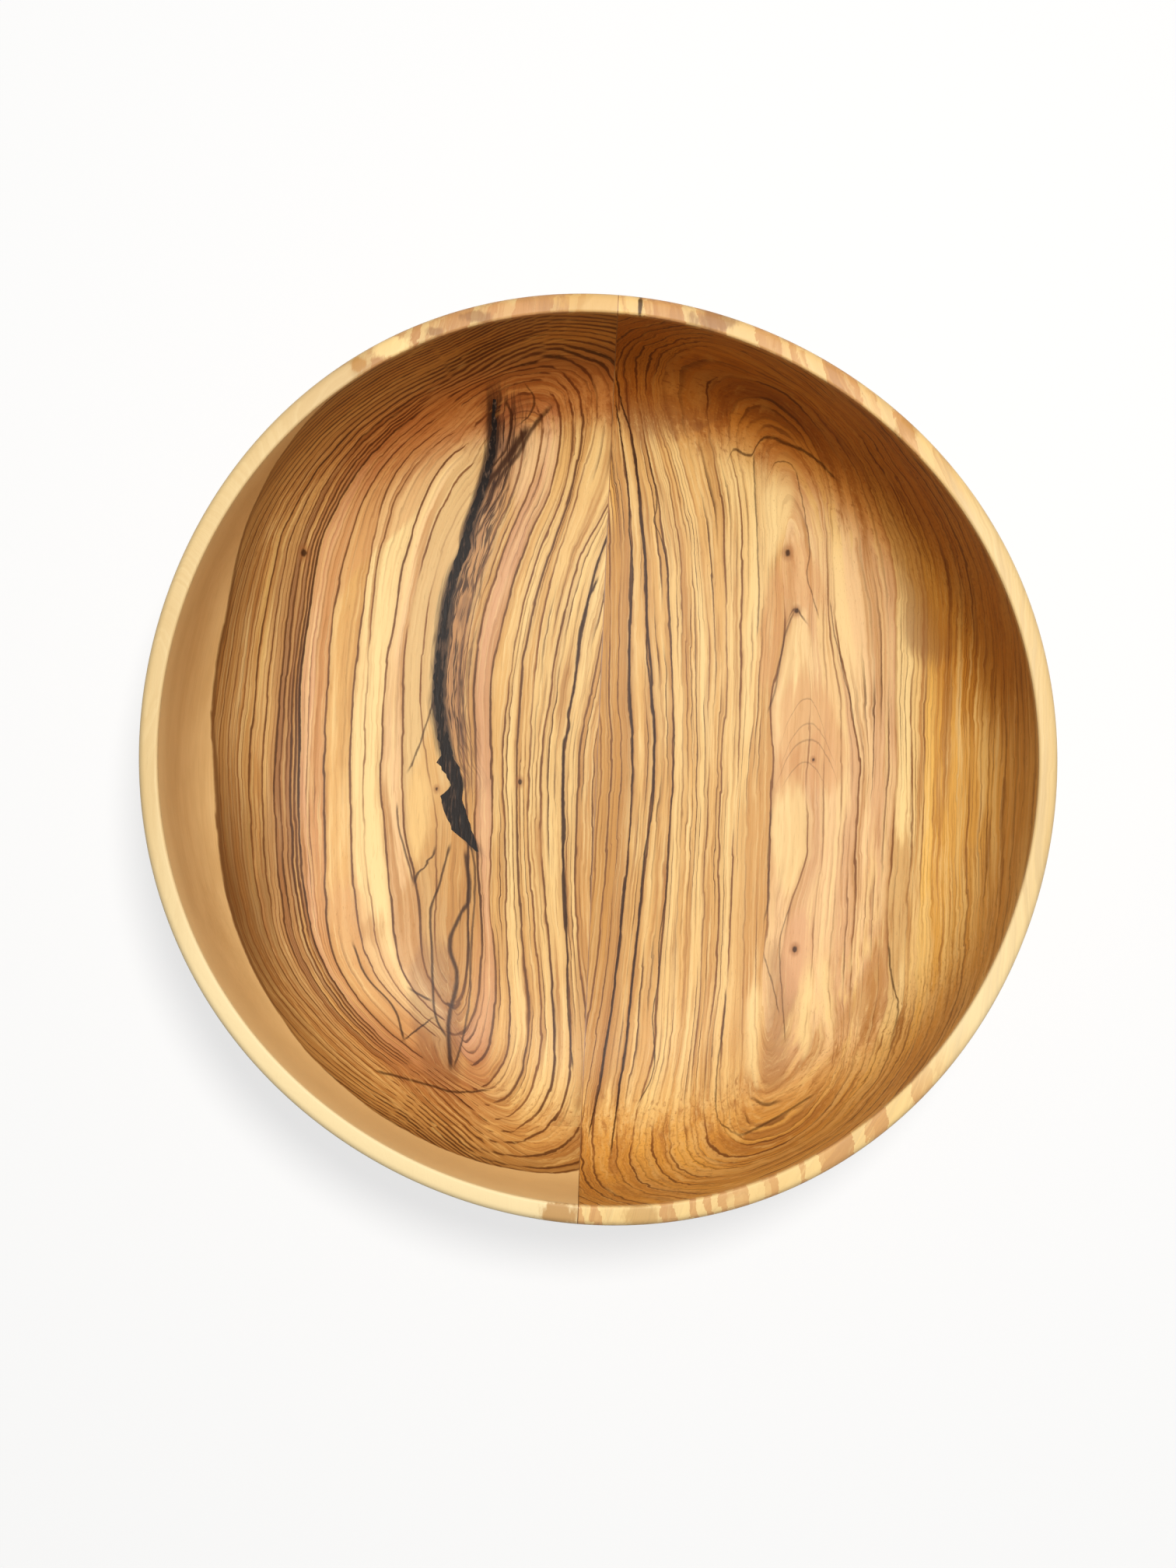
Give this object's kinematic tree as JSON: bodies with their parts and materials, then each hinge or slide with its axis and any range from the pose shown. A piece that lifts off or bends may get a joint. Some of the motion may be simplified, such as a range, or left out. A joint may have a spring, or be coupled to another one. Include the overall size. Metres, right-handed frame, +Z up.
{
  "type": "salad bowl",
  "caption": "Round olive wood salad bowl turned from two edge-glued halves, with steep walls, a wide flat floor and a dark filled heart crack.",
  "frame": {"origin": "centre of the flat base, on the surface that the bowl stands on", "axes": "+Z up through the mouth, +Y along the glued seam, +X from the left half to the right half"},
  "size_m": [0.2974, 0.3014, 0.09],
  "materials": {
    "olive_wood_left": "oiled satin",
    "olive_wood_right": "oiled satin",
    "wood_glue": "dried wood glue, sanded flush",
    "dark_resin": "dark resin filling, sanded flush and oiled"
  },
  "bodies": {
    "root": {"left_half": "olive_wood_left", "right_half": "olive_wood_right", "glue_line": "wood_glue", "crack_filler": "dark_resin"}
  },
  "joints": []
}
